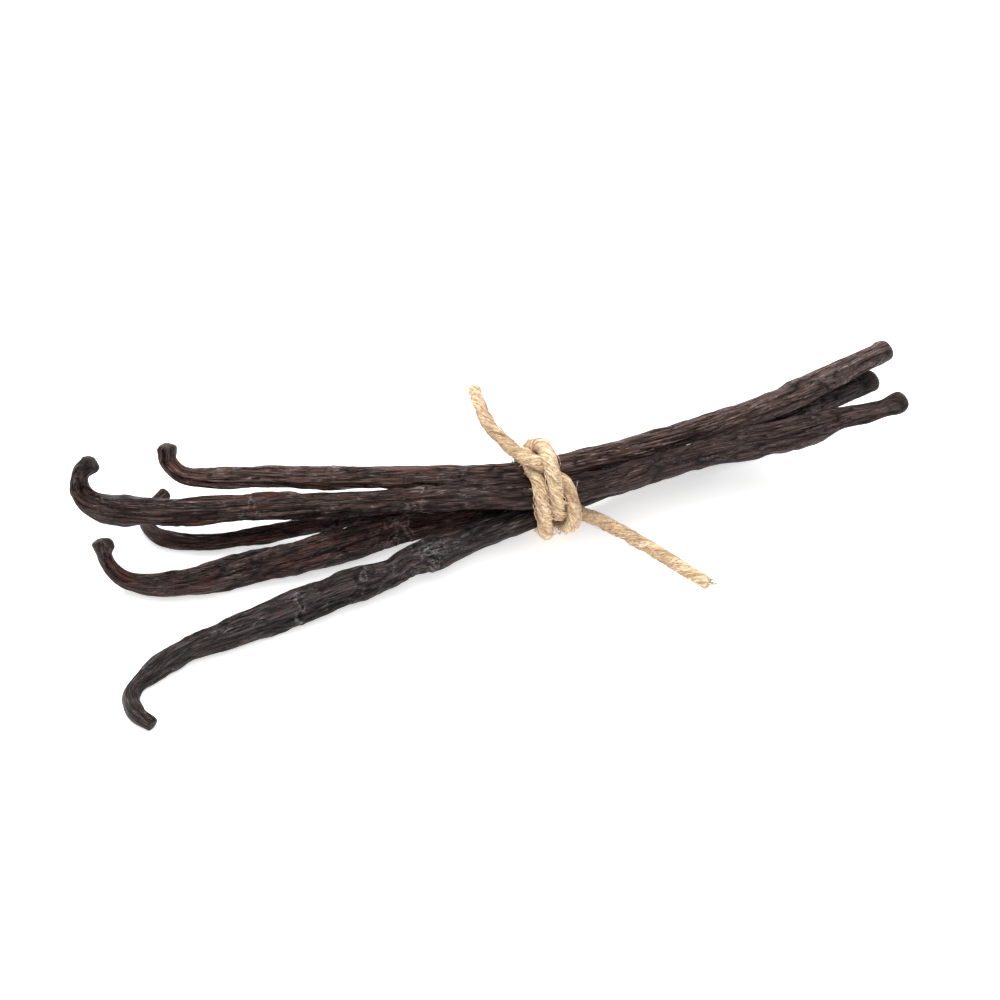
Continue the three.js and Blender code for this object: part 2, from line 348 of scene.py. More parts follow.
# Open fibres at both ends: their distance from the middle, length inside the twine and
# past it, flare and unevenness.
FRAY = {
    "count": 30, "distance": (0.1, 1.2), "inside": 1.2, "past": (0.1, 0.8), "flare": (0, 0.5),
    "uneven": 0.04, "radius": (0.06, 0.15), "shade": (0.5, 1),
}
# Strays keep this many rings from the twine's ends. Points of a stray or open fibre.
RING_MARGIN = 5
FIBRE_POINTS = 7
# A fibre thins towards both ends: the power that it follows, and the least share, squared.
# Then a direction that few fibres run along, and the fibre's place in the texture.
FIBRE_TAPER = 4
FIBRE_END = 0.02
ODD_DIRECTION = (0.31, 0.52, 0.79)
TEXTURE_SPAN = 40
TEXTURE_STEP = 0.2
# The loose yarn at the front end.
LOOSE_YARN = [(22.6, -31.0, 5.2), (23.4, -31.5, 5.1), (24.3, -31.8, 5.0), (25.1, -31.8, 4.8)]
LOOSE_YARN_RADIUS = 0.42
LOOSE_YARN_SHADE = 1.0

TWINE_NOISES = {
    "fibres": {"stretch": (2.4, 2.4, 0.3), "detail": 4, "roughness": 0.65},
    "patches": {"stretch": (0.6, 0.6, 0.12), "detail": 2},
    "specks": {"stretch": (2.2, 2.2, 1.1), "detail": 3, "roughness": 0.7},
}
# Thin lines of painted shade between the fibres.
TWINE_SHADE_LINES = {"stretch": (0.95, 0.95, 0.6), "width": 0.05}
# The twine's colours: between fibres, on fibres, in patches, on pale strands, and in dark
# specks and the painted shade of thin lines between fibres. Each one after the first two has
# its strength.
JUTE_DARK = (0.50, 0.29, 0.135)
JUTE_LIGHT = (0.95, 0.74, 0.49)
JUTE_PATCH = (0.90, 0.63, 0.36)
PATCH_SHARE = 0.5
JUTE_PALE = (0.98, 0.83, 0.61)
PALE_SHARE = 0.45
JUTE_SPECKS_AND_SHADE = (0.25, 0.12, 0.045)
SPECK_AND_SHADE_SHARE = 0.75
JUTE_RANGES = {"fibres": (0.42, 0.56), "patches": (0.4, 0.65), "specks": (0.56, 0.61)}
TWINE_ROUGHNESS = 0.85
TWINE_SPECULAR = 0.25
TWINE_SHEEN = 0.15
TWINE_RELIEF = 0.5
TWINE_RELIEF_STRENGTH = 0.9

# The twine's route, from the end of the back tail. Where it lies on the pods, an entry is
# x, the side in degrees and the lift off the pods: 0 is the back, 90 the top, 180 the front
# and 270 the underside, and the degrees go on past 360. Elsewhere it is points.
BACK_TAIL = [
    (-12.7, 16.5, 27), (-12.9, 12, 26.3), (-12.4, 7.3, 24.9), (-10.6, 3.4, 23.7), (-8.4, -0.7, 22.6),
    (-6.3, -2.9, 22.3), (-4.7, -4, 21.8), (-3, -4.5, 20.3), (-1.6, -5.9, 18.8),
]
OVER_SHOULDER = [(-0.3, 118, 0.4), (0.2, 138, 0.1)]
FIRST_TURN_FRONT = [(0.6, -10.6, 13.6), (0.6, -11.2, 11.6), (0.5, -10.9, 9.5), (0.2, -9.4, 7.3)]
FIRST_TURN = [
    (-0.1, 232, 0), (-0.2, 262, 0), (-0.2, 295, 0), (-0.3, 325, 0), (-1.2, 345, 0), (-3.2, 364, 0),
    (-5, 386, 0), (-5.7, 408, 0), (-5.8, 430, 0), (-5.7, 450, 0),
]
SECOND_TURN = [
    (-5.6, 470, 0), (-5.7, 500, 0), (-5.4, 540, 0), (-4.6, 570, 0), (-4, 600, 0), (-3.9, 628, 0),
    (-3.9, 658, 0), (-3.9, 684, 0.9), (-3.6, 702, 2.9), (-3, 722, 3.2), (-2.7, 742, 2.5),
    (-2.6, 760, 1.2),
]
KNOT_LOOP = [
    (-2.6, 3.2, 19.2), (-2.7, 2, 20.9), (-2.8, 0.1, 22.1), (-2.8, -2.3, 23), (-2.9, -5.2, 23.2),
    (-3, -8, 21.3), (-2.9, -9.8, 17.4), (-2.5, -9.9, 14.2), (-1.5, -9.1, 11.8),
]
FRONT_TAIL = [(0.6, -7.8, 10.2), (4, -9, 9), (7.3, -13, 9.2), (14, -20.8, 7.8), (23, -31.5, 5)]
# How much of the pods the twine can lie on, to both sides of the waist, and the step there.
WAIST_REACH = 60
WAIST_STEP = 0.5

# The floor, in metres from its middle.
FLOOR_REACH = 4.0
FLOOR_COLOUR = (0.92, 0.92, 0.92)
FLOOR_ROUGHNESS = 0.9
FLOOR_SPECULAR = 0.1
# The floor's own light keeps its picture white and the shadows faint.
FLOOR_GLOW = 0.515
# Lights: size in metres, power in watts, and place in metres.
LIGHTS = {
    "key": (0.8, 15.0, (-0.2, 0.7, 0.95)),
    "top": (1.3, 7.5, (0.1, -0.05, 1.0)),
    "fill": (0.7, 3.0, (-0.15, -0.75, 0.75)),
}
LIGHT_TARGET = (0, 0, 0.01)
WORLD_STRENGTH = 0.38
WHITE = (1, 1, 1)

# The camera looks from the front left and above, through a long lens. Sizes are in
# millimetres, clipping distances in metres. The waist is at its own pixel of the picture.
CAMERA_AZIMUTH = -17.0
CAMERA_ELEVATION = 45.0
CAMERA_DISTANCE = 620.0
FRAME_HALF_WIDTH = 105.0
FRAME_PIXELS = 1000
WAIST_POINT = (0.0, 0.0, 9.0)
WAIST_PIXEL = (555.0, 490.0)
CLIP_START = 0.01
CLIP_END = 20


def smooth_line(points):
    """Points on the centripetal Catmull-Rom curve through the given points."""
    points = np.array(points, float)
    out = []
    for i in range(len(points) - 1):
        p1, p2 = points[i], points[i + 1]
        p0 = points[i - 1] if i else 2 * p1 - p2
        p3 = points[i + 2] if i + 2 < len(points) else 2 * p2 - p1
        d0, d1, d2 = (math.sqrt(np.linalg.norm(b - a)) for a, b in ((p0, p1), (p1, p2), (p2, p3)))
        t1 = ((p1 - p0) / d0 - (p2 - p0) / (d0 + d1) + (p2 - p1) / d1) * d1
        t2 = ((p2 - p1) / d1 - (p3 - p1) / (d1 + d2) + (p3 - p2) / d2) * d1
        t = np.arange(SPAN_STEPS)[:, None] / SPAN_STEPS
        square = (-3 * p1 + 3 * p2 - 2 * t1 - t2) * t**2
        out.append(p1 + t1 * t + square + (2 * p1 - 2 * p2 + t1 + t2) * t**3)
    return np.vstack(out + [points[-1:]])


def frames_along(points, step):
    """Even places along a line: distances, points, and along, side and up vectors."""
    line = smooth_line(points)
    travelled = np.r_[0, np.cumsum(np.linalg.norm(np.diff(line, axis=0), axis=1))]
    at = np.linspace(0, travelled[-1], round(travelled[-1] / step) + 1)
    centre = np.stack([np.interp(at, travelled, line[:, k]) for k in range(3)], 1)
    along = np.gradient(centre, axis=0)
    along /= np.linalg.norm(along, axis=1)[:, None]
    side = np.zeros_like(centre)
    middle = len(at) // 2
    side[middle] = np.cross(along[middle], (0, 0, 1))
    side[middle] /= np.linalg.norm(side[middle])
    for places, back in ((range(middle + 1, len(at)), -1), (range(middle - 1, -1, -1), 1)):
        for i in places:
            turned = side[i + back] - along[i] * (side[i + back] @ along[i])
            side[i] = turned / np.linalg.norm(turned)
    return at, centre, along, side, np.cross(side, along)


def lattice_noise(u, v, around, seed):
    """Smooth noise from -1 to 1 that repeats in v every `around` cells."""
    rows = int(u.max()) + NOISE_MARGIN
    table = np.random.default_rng(seed).uniform(-1, 1, (rows, around))
    iu, iv = np.floor(u).astype(int), np.floor(v).astype(int)
    fu, fv = u - iu, v - iv
    fu, fv = fu * fu * (3 - 2 * fu), fv * fv * (3 - 2 * fv)
    low, high = iv % around, (iv + 1) % around
    near = table[iu, low] * (1 - fv) + table[iu, high] * fv
    far = table[iu + 1, low] * (1 - fv) + table[iu + 1, high] * fv
    return near * (1 - fu) + far * fu


def skin_noise(at, angle, count, reach, seed):
    """Noise on a tube, with `count` cells round it, each `reach` long."""
    return lattice_noise(at / reach, angle / (2 * math.pi) * count, count, seed)


def tube_faces(rings, sides):
    """Quads of an open tube whose vertices are stored ring by ring."""
    start = np.arange(rings - 1)[:, None] * sides
    k = np.arange(sides)[None]
    a, b = start + k, start + (k + 1) % sides
    return np.stack([a, b, b + sides, a + sides], -1).reshape(-1, 4)


def cap_faces(rings, sides, first, start_pole, end_pole):
    """Triangles that close both ends of a tube on a point each."""
    k = np.arange(sides)
    after = (k + 1) % sides
    last = first + (rings - 1) * sides
    start = np.stack([np.full(sides, start_pole), first + after, first + k], -1)
    end = np.stack([np.full(sides, end_pole), last + k, last + after], -1)
    return np.vstack([start, end])


def ring_points(axis, side, up, radius, angle, flatness=1.0):
    """Points of a tube's rings round its axis, ring by ring."""
    points = (
        axis[:, None]
        + side[:, None] * (radius * np.cos(angle))[..., None]
        + up[:, None] * (flatness * radius * np.sin(angle))[..., None]
    )
    return points.reshape(-1, 3)


def mesh_object(name, points, quads, triangles, attributes):
    """A smooth-shaded object from points in millimetres and arrays of faces.

    Points under the floor are put on it.
    """
    points = (np.asarray(points) + ROUTE_TO_FRAME) * MM
    points[:, 2] = np.maximum(points[:, 2], 0)
    mesh = bpy.data.meshes.new(name)
    loops = np.concatenate([quads.ravel(), triangles.ravel()])
    sizes = np.r_[np.full(len(quads), 4), np.full(len(triangles), 3)]
    mesh.vertices.add(len(points))
    mesh.vertices.foreach_set("co", points.astype(np.float32).ravel())
    mesh.loops.add(len(loops))
    mesh.loops.foreach_set("vertex_index", loops.astype(np.int32))
    mesh.polygons.add(len(sizes))
    mesh.polygons.foreach_set("loop_start", np.r_[0, np.cumsum(sizes)[:-1]].astype(np.int32))
    mesh.polygons.foreach_set("use_smooth", np.ones(len(sizes), bool))
    for key, values in attributes.items():
        values = np.asarray(values, np.float32)
        if values.ndim == 2:
            mesh.attributes.new(key, "FLOAT_VECTOR", "POINT").data.foreach_set("vector", values.ravel())
        else:
            mesh.attributes.new(key, "FLOAT", "POINT").data.foreach_set("value", values)
    mesh.update()
    mesh.validate()
    made = bpy.data.objects.new(name, mesh)
    bpy.context.scene.collection.objects.link(made)
    return made


def width_at(widths, at):
    places, sizes = np.array(widths, float).T
    return np.interp(at, places, sizes)


def bell(value, middle, reach):
    """1 at the middle value, and less away from it."""
    return np.exp(-(((value - middle) / reach) ** 2))


def facing(angle, degrees):
    """1 on one side of a pod, 0 from a quarter turn away."""
    return np.maximum(0, np.cos(angle - math.radians(degrees)))


def dented(radius, dents, at, angle):
    for place, reach, depth, degrees in dents:
        radius = radius * (1 - depth * bell(at, place, reach) * facing(angle, degrees))
    return radius


def pod_radius(pod, at, angle):
    """Radius of the plain pod, with the solids' rounded ridges and dents."""
    radius = width_at(pod["widths"], at) / 2 * (1 + RIDGE_DEPTH * (np.cos(RIDGE_COUNT * angle) - 1))
    return dented(radius, pod["dents"], at, angle)


class Skin:
    """A pod's wrinkled skin: its height over the plain pod, painted shade in its grooves, and frost with
    painted glints.
    """

    def __init__(self, pod, at, angle):
        self.pod = pod
        self.at = at
        self.angle = angle
        self.turned = angle + 2 * math.pi * pod["turns"] * at / at.max()
        for number, (count, reach, size) in enumerate(MEANDERS):
            self.turned = self.turned + size * self.noise("meander", count, reach, number)
        self.height = np.zeros_like(at)
        self.painted_groove_shade = np.zeros_like(at)
        self.frost_and_glint = np.zeros_like(at)

    def noise(self, kind, count, reach, number=0, at=None, angle=None):
        """Noise along the skin's turned lines, unless other places are given."""
        at = self.at if at is None else at
        angle = self.turned if angle is None else angle
        return skin_noise(at, angle, count, reach, self.pod["seed"] + SEEDS[kind] + number)

    def paint_shade(self, amount):
        self.painted_groove_shade = np.maximum(self.painted_groove_shade, amount)

    def swell(self):
        for number, (count, reach, size) in enumerate(SWELLS):
            self.height += size * self.noise("swell", count, reach, number)

    def fold(self):
        for number, (count, reach, rise, valley) in enumerate(FOLDS):
            wave = np.abs(self.noise("fold", count, reach, number))
            breaks = self.noise("fold break", count // 2, reach / 2, number)
            kept = np.clip(FOLD_SHARE + breaks, 0, 1)
            self.height += rise * kept * (wave - USUAL_RISE)
            # Painted shade along each fold's valley.
            self.paint_shade(kept * bell(wave, 0, valley))

    def net(self):
        netted = np.clip(NET_EDGE * self.noise("net patch", *NET_PATCHES, angle=self.angle), 0, 1)
        cells = self.noise("net", *NET_CELLS)
        self.height += NET_RISE * netted * cells
        # Painted shade along the net's lines.
        self.paint_shade(NET_SHADE * netted * bell(cells, 0, NET_LINE))

    def crease(self):
        """Gathers across the pod, with painted shade in their hollows and frost with painted glints along
        lines in them.
        """
        side = CREASE_LEAST + CREASE_GAIN * np.cos(self.angle - math.radians(CREASE_SIDE))
        side = np.clip(side, 0, 1)
        for number, (place, reach, depth, white) in enumerate(self.pod["creases"]):
            shift = self.noise("shift", *SHIFT_WAVES, number, angle=self.angle)
            breaks = self.noise("crease break", *BREAK_WAVES, number, angle=self.angle)
            shifted = self.at + SHIFT_SIZE * shift
            kept = np.clip(BREAK_SHARE + BREAK_SIZE * breaks, 0, 1)
            patch = bell(shifted, place, reach) * side * kept
            gather = self.noise("gather", *GATHERS, number, at=shifted)
            self.height += depth * patch * gather
            # Painted shade in the gathers' hollows, and frost with painted glints along a line on them.
            self.paint_shade(patch * np.clip(-GATHER_SHADE * gather, 0, 1))
            frost_and_glint = white * patch * bell(gather, FROST_AND_GLINT_HEIGHT, FROST_AND_GLINT_LINE)
            self.frost_and_glint = np.maximum(self.frost_and_glint, frost_and_glint)

    def shade_pits(self):
        for place, reach, depth, degrees in self.pod["pits"]:
            # A deeper pit is darkened with painted shade.
            shade = np.clip(PIT_SHADE_GAIN * depth - PIT_SHADE_START, 0, 1)
            focus = facing(self.angle, degrees) ** PIT_FOCUS
            self.paint_shade(shade * focus * bell(self.at, place, reach))


def wrinkled_skin(pod, at, angle):
    skin = Skin(pod, at, angle)
    skin.swell()
    skin.fold()
    skin.net()
    skin.crease()
    skin.shade_pits()
    return skin


def pod_rings(count, reach, bulges):
    """Each ring's row on the centre line, share of the radius, and distance past the line.

    The line has `count` rows, and `reach` is how far each of the two ends bulges.
    """
    tip = np.arange(1, END_RINGS) / END_RINGS * math.pi / 2
    level = np.zeros(count)
    rows = np.r_[np.zeros(END_RINGS - 1, int), np.arange(count), np.full(END_RINGS - 1, count - 1)]
    closing = np.r_[np.cos(tip[::-1]) ** bulges[0], level + 1, np.cos(tip) ** bulges[1]]
    beyond = np.r_[-reach[0] * np.sin(tip[::-1]), level, reach[1] * np.sin(tip)]
    return rows, closing, beyond


def make_pod(name, pod):
    at, centre, along, side, up = frames_along(pod["route"], POD_RING_STEP)
    reach = width_at(pod["widths"], at[[0, -1]]) / 2 * pod["bulges"]
    rows, closing, beyond = pod_rings(len(at), reach, pod["bulges"])
    angles = np.arange(POD_SIDES) / POD_SIDES * 2 * math.pi

    place = np.repeat((at[rows] + beyond)[:, None], POD_SIDES, 1)
    place -= place.min()
    angle = np.repeat(angles[None], len(rows), 0)
    plain = pod_radius(pod, np.repeat(at[rows][:, None], POD_SIDES, 1), angle)
    skin = wrinkled_skin(pod, place, angle)
    radius = (plain + skin.height * plain / FULL_RADIUS) * closing[:, None]
    radius = dented(radius, pod["pits"], place, angle)
    axis = centre[rows] + along[rows] * beyond[:, None]
    points = ring_points(axis, side[rows], up[rows], radius, angle, POD_FLATNESS)
    poles = [centre[0] - along[0] * reach[0], centre[-1] + along[-1] * reach[1]]

    # The places of the skin on a straight pod, and what the material reads there. The last
    # two values of each are those of the poles.
    straight = np.stack([plain * np.cos(angle), plain * np.sin(angle), place], -1).reshape(-1, 3)
    ends = np.minimum(place, place.max() - place).ravel()
    fields = {
        "straight": np.vstack([straight, [(0, 0, 0), (0, 0, place.max())]]),
        # Painted shade of the grooves, and frost with painted glints.
        "painted_groove_shade": np.r_[skin.painted_groove_shade.ravel(), 0, 0],
        "frost_and_glint": np.r_[skin.frost_and_glint.ravel(), 0, 0],
        "end": np.r_[bell(ends, 0, END_REACH), 1, 1],
        "far": np.r_[np.clip(place / place.max(), 0, 1).ravel(), 0, 1],
    }
    count = len(rows) * POD_SIDES
    quads = tube_faces(len(rows), POD_SIDES)
    triangles = cap_faces(len(rows), POD_SIDES, 0, count, count + 1)
    return mesh_object(name + "_skin", np.vstack([points, poles]), quads, triangles, fields)


class Nodes:
    """Short names for building a material's node tree."""

    def __init__(self, name):
        self.material = bpy.data.materials.new(name)
        self.material.use_nodes = True
        self.tree = self.material.node_tree
        self.shader = self.tree.nodes["Principled BSDF"]

    def link(self, socket, target):
        self.tree.links.new(socket, target)

    def attribute(self, name, vector=False):
        node = self.tree.nodes.new("ShaderNodeAttribute")
        node.attribute_name = name
        return node.outputs["Vector" if vector else "Fac"]

    def noise(self, vector, stretch, detail, roughness=0.55):
        scale = self.tree.nodes.new("ShaderNodeVectorMath")
        scale.operation = "MULTIPLY"
        scale.inputs[1].default_value = stretch
        self.link(vector, scale.inputs[0])
        node = self.tree.nodes.new("ShaderNodeTexNoise")
        node.inputs["Scale"].default_value = 1.0
        node.inputs["Detail"].default_value = detail
        node.inputs["Roughness"].default_value = roughness
        self.link(scale.outputs[0], node.inputs["Vector"])
        return node.outputs["Fac"]

    def thin_lines(self, vector, stretch, width):
        """1 along thin wandering lines, 0 away from them."""
        off = self.math("SUBTRACT", self.noise(vector, stretch, LINE_DETAIL), NOISE_MIDDLE)
        return self.ramp(self.math("ABSOLUTE", off, 0.0), 0.0, width, 1.0, 0.0)

    def ramp(self, value, low, high, out_low=0.0, out_high=1.0):
        """From `out_low` at the low value to `out_high` at the high one, and level outside."""
        node = self.tree.nodes.new("ShaderNodeMapRange")
        node.inputs["From Min"].default_value = low
        node.inputs["From Max"].default_value = high
        node.inputs["To Min"].default_value = out_low
        node.inputs["To Max"].default_value = out_high
        self.link(value, node.inputs["Value"])
        return node.outputs["Result"]

    def math(self, operation, first, second):
        node = self.tree.nodes.new("ShaderNodeMath")
        node.operation = operation
        for socket, value in zip(node.inputs, (first, second)):
            if isinstance(value, (int, float)):
                socket.default_value = value
            else:
                self.link(value, socket)
        return node.outputs[0]

    def product(self, first, *others):
        for other in others:
            first = self.math("MULTIPLY", first, other)
        return first

    def mix(self, factor, first, second):
        node = self.tree.nodes.new("ShaderNodeMix")
        node.data_type = "RGBA"
        self.link(factor, node.inputs[0])
        for socket, value in ((node.inputs[MIX_FIRST], first), (node.inputs[MIX_SECOND], second)):
            if isinstance(value, tuple):
                socket.default_value = (*value, 1)
            else:
                self.link(value, socket)
        return node.outputs[MIX_RESULT]

    def bump(self, height, distance, strength=1.0, normal=None):
        node = self.tree.nodes.new("ShaderNodeBump")
        node.inputs["Distance"].default_value = distance
        node.inputs["Strength"].default_value = strength
        self.link(height, node.inputs["Height"])
        if normal:
            self.link(normal, node.inputs["Normal"])
        return node.outputs["Normal"]


def pod_material(name, pod):
    n = Nodes(name)
    straight = n.attribute("straight", vector=True)
    far = n.attribute("far")
    noise = {key: n.noise(straight, **facts) for key, facts in POD_NOISES.items()}
    lines = {key: n.thin_lines(straight, **facts) for key, facts in POD_LINES.items()}
    mask = {key: n.ramp(noise[source], low, high) for key, (source, low, high) in POD_MASKS.items()}

    # The net, deep and fine lines are sunk as relief below, and darkened with painted shade.
    net = n.product(lines["net"], n.ramp(far, *NET_STRETCH), mask["glint_and_net_patches"], NET_SHARE)
    wrinkles = n.math("MAXIMUM", lines["deep"], n.product(lines["fine"], FINE_SHARE))
    wrinkles = n.math("MAXIMUM", wrinkles, net)
    painted_furrow_shade = n.math("MAXIMUM", n.attribute("painted_groove_shade"), n.product(wrinkles, PAINTED_LINE_SHARE))

    streaks = n.product(noise["streaks"], STREAK_PART)
    tone = n.math("ADD", streaks, n.product(noise["fibres"], FIBRE_PART))
    colour = n.mix(n.ramp(tone, *TONE_RANGE), pod["dark"], pod["brown"])
    colour = n.mix(n.product(mask["red patch"], mask["red fibre"]), colour, pod["red"])
    # A painted sheen that lightens lit ridges towards the far end.
    painted_sheen = n.product(n.ramp(far, *PAINTED_SHEEN_STRETCH), mask["painted_sheen_fibre"], PAINTED_SHEEN_SHARE)
    colour = n.mix(painted_sheen, colour, pod["painted_sheen"])
    # Painted glints, in the same patches that hold the net.
    colour = n.mix(n.product(lines["painted_glints"], mask["glint_and_net_patches"]), colour, pod["painted_glint"])
    # Painted shade in the grooves and along the lines.
    colour = n.mix(n.product(painted_furrow_shade, PAINTED_FURROW_SHARE), colour, PAINTED_FURROW_SHADE)
    tip = n.mix(far, *TIP_COLOURS)
    colour = n.mix(n.product(n.attribute("end"), mask["ragged"]), colour, tip)
    # Frost flecks with painted glints.
    colour = n.mix(n.product(n.attribute("frost_and_glint"), mask["frost_and_glint_grain"]), colour, FROST_AND_GLINT_COLOUR)

    n.link(colour, n.shader.inputs["Base Color"])
    n.link(n.ramp(noise["fibres"], **POD_ROUGHNESS), n.shader.inputs["Roughness"])
    n.shader.inputs["Specular IOR Level"].default_value = POD_SPECULAR
    normal = n.bump(noise["fibres"], FIBRE_RELIEF * MM)
    normal = n.bump(wrinkles, LINE_RELIEF * MM, normal=normal)
    normal = n.bump(noise["grain"], GRAIN_RELIEF * MM, GRAIN_STRENGTH, normal)
    n.link(normal, n.shader.inputs["Normal"])
    return n.material


def pods_at(lines, x):
    """Middle and radius of each pod at x."""
    found = []
    for points, radii in lines:
        y, z = (np.interp(x, points[:, 0], points[:, axis]) for axis in (1, 2))
        found.append((np.array([x, y, z]), np.interp(x, points[:, 0], radii)))
    return found


def wrap_point(lines, place):
    """Where the twine's centre line lies on the outside of the pods."""
    x, degrees, lift = place
    outward = np.array([0, math.cos(math.radians(degrees)), math.sin(math.radians(degrees))])
    centre, radius = max(pods_at(lines, x), key=lambda pod: pod[0] @ outward + pod[1])
    return tuple(centre + outward * (radius + TWINE_DIAMETER / 2 + TWINE_CLEARANCE + lift))


def twine_route():
    lines = []
    for pod in PODS.values():
        at, centre, *_ = frames_along(pod["route"], WAIST_STEP)
        near = np.abs(centre[:, 0]) < WAIST_REACH
        lines.append((centre[near], width_at(pod["widths"], at[near]) / 2))
    shoulder = [wrap_point(lines, place) for place in OVER_SHOULDER]
    turns = [wrap_point(lines, place) for place in FIRST_TURN + SECOND_TURN]
    return BACK_TAIL + shoulder + FIRST_TURN_FRONT + turns + KNOT_LOOP + FRONT_TAIL


def thin_tube(line, radius):
    """Points and faces of a thin tapered fibre along a few points."""
    along = np.gradient(line, axis=0)
    along /= np.linalg.norm(along, axis=1)[:, None] + TINY
    side = np.cross(along, ODD_DIRECTION)
    side /= np.linalg.norm(side, axis=1)[:, None] + TINY
    up = np.cross(side, along)
    share = np.clip(1 - np.linspace(-1, 1, len(line)) ** FIBRE_TAPER, FIBRE_END, 1)
    taper = radius * np.sqrt(share)
    angle = np.arange(FIBRE_SIDES) / FIBRE_SIDES * 2 * math.pi
    ring = side[:, None] * np.cos(angle)[None, :, None] + up[:, None] * np.sin(angle)[None, :, None]
    points = (line[:, None] + ring * taper[:, None, None]).reshape(-1, 3)
    return points, tube_faces(len(line), FIBRE_SIDES)


class Strands:
    """Tubes and fibres that are gathered into one mesh, along the twine's frames."""

    def __init__(self, frames):
        self.at, self.centre, self.along, self.side, self.up = frames
        self.last = len(self.at) - 1
        self.points, self.quads, self.triangles = [], [], []
        self.straight, self.shade = [], []
        self.total = 0
        self.rng = np.random.default_rng(TWINE_SEED)

    def add(self, points, quads, straight, shade):
        self.points.append(points)
        self.quads.append(quads + self.total)
        self.straight.append(straight)
        self.shade.append(np.full(len(points), shade))
        self.total += len(points)

    def around(self, turn, distance, rows):
        """Points beside the twine's centre line."""
        across = self.side[rows] * np.cos(turn)[:, None] + self.up[rows] * np.sin(turn)[:, None]
        return self.centre[rows] + across * np.reshape(distance, (-1, 1))

    def outward(self, row, turn):
        """The way out from the twine's centre line."""
        return self.side[row] * math.cos(turn) + self.up[row] * math.sin(turn)

    def strand_seed(self, number):
        return TWINE_SEED + STRAND_SEED_STEP * number

    def strand_path(self, number):
        """A helix round the twine's centre line that wanders a little."""
        reach, share = STRAND_WANDER
        wander = lattice_noise(self.at / reach, np.zeros_like(self.at), 1, self.strand_seed(number))
        turn = 2 * math.pi * (number / len(STRAND_SHADES) + self.at / TWINE_LAY)
        return self.around(turn, STRAND_OFFSET * (1 + share * wander), np.arange(len(self.at)))

    def strand(self, number, shade):
        """One of the strands that are laid together."""
        seed = self.strand_seed(number)
        path = self.strand_path(number)
        place = np.repeat(self.at[:, None], STRAND_SIDES, 1)
        angle = np.repeat(np.arange(STRAND_SIDES)[None] / STRAND_SIDES * 2 * math.pi, len(self.at), 0)
        twisted = angle - 2 * math.pi * place / RIDGE_LAY
        along = place / place.max()
        in_knot = np.clip(KNOT_EDGE * np.minimum(along - KNOT_START, KNOT_END - along), 0, 1)
        reach, share = STRAND_SWELL
        swell = 1 + share * lattice_noise(place / reach, np.zeros_like(place), 1, seed + 1)
        radius = STRAND_RADIUS * (1 + KNOT_LOOSENESS * in_knot) * swell
        radius *= 1 + STRAND_RIDGE_RISE * skin_noise(place, twisted, *STRAND_RIDGES, seed + 2)
        radius *= 1 + FLARE_SIZE * bell(along, FLARE_PLACE, FLARE_REACH)
        radius[[0, -1]] *= LAST_RING
        skin = ring_points(path, self.side, self.up, radius, angle)
        across = np.cos(twisted) + TEXTURE_SPACING * number
        coords = np.stack([across, np.sin(twisted), place], -1).reshape(-1, 3)
        first = self.total
        self.add(skin, tube_faces(len(self.at), STRAND_SIDES), coords, shade)
        tips = [path[0] - self.along[0] * STRAND_TIP, path[-1] + self.along[-1] * STRAND_TIP]
        self.add(np.vstack(tips), np.zeros((0, 4), int), np.zeros((2, 3)), STRAND_SHADES[1])
        self.triangles.append(cap_faces(len(self.at), STRAND_SIDES, first, self.total - 2, self.total - 1))

    def fibre(self, line, radius, shade):
        points, quads = thin_tube(line, radius)
        coords = np.zeros_like(points)
        coords[:, 0] = self.rng.uniform(0, TEXTURE_SPAN)
        coords[:, 2] = np.arange(len(points)) * TEXTURE_STEP
        self.add(points, quads, coords, shade)

    def fuzz(self, count, shortest, longest, lift, thickness, stretch):
        """Fibres that leave the surface a little and come back, on a stretch of the twine."""
        rng = self.rng
        for _ in range(count):
            steps = rng.integers(shortest, longest)
            rows = np.arange(steps) + int(rng.uniform(*stretch) * (len(self.at) - steps))
            share = np.linspace(0, 1, steps)
            turn = 2 * math.pi * (rng.uniform() + self.at[rows] / TWINE_LAY)
            turn = turn + rng.uniform(*FUZZ_DRIFT) * share
            rise = rng.exponential(lift) * np.sin(math.pi * share ** rng.uniform(*FUZZ_LEAN))
            line = self.around(turn, TWINE_DIAMETER / 2 - FUZZ_DEPTH + rise, rows)[::FUZZ_STRIDE]
            self.fibre(line, thickness * rng.uniform(*FUZZ_SPREAD), rng.uniform(*FUZZ_SHADES))

    def stray(self):
        """Loose fibre ends that stand off, most of them near the knot."""
        rng = self.rng
        share = np.linspace(0, 1, FIBRE_POINTS)[:, None]
        for _ in range(STRAYS["count"]):
            row = rng.normal(self.last * STRAYS["middle"], self.last * STRAYS["spread"])
            row = int(np.clip(row, RING_MARGIN, len(self.at) - RING_MARGIN))
            out = self.outward(row, rng.uniform(0, 2 * math.pi))
            bend = rng.normal(0, STRAYS["bend"], 3)
            line = self.centre[row] + out * (TWINE_DIAMETER / 2 - STRAYS["depth"])
            way = out * STRAYS["outward"] + self.along[row] * rng.normal(0, STRAYS["slant"])
            line = line + way * share * rng.uniform(*STRAYS["length"])
            radius = rng.uniform(*STRAYS["radius"])
            self.fibre(line + bend * share**2, radius, rng.uniform(*STRAYS["shade"]))

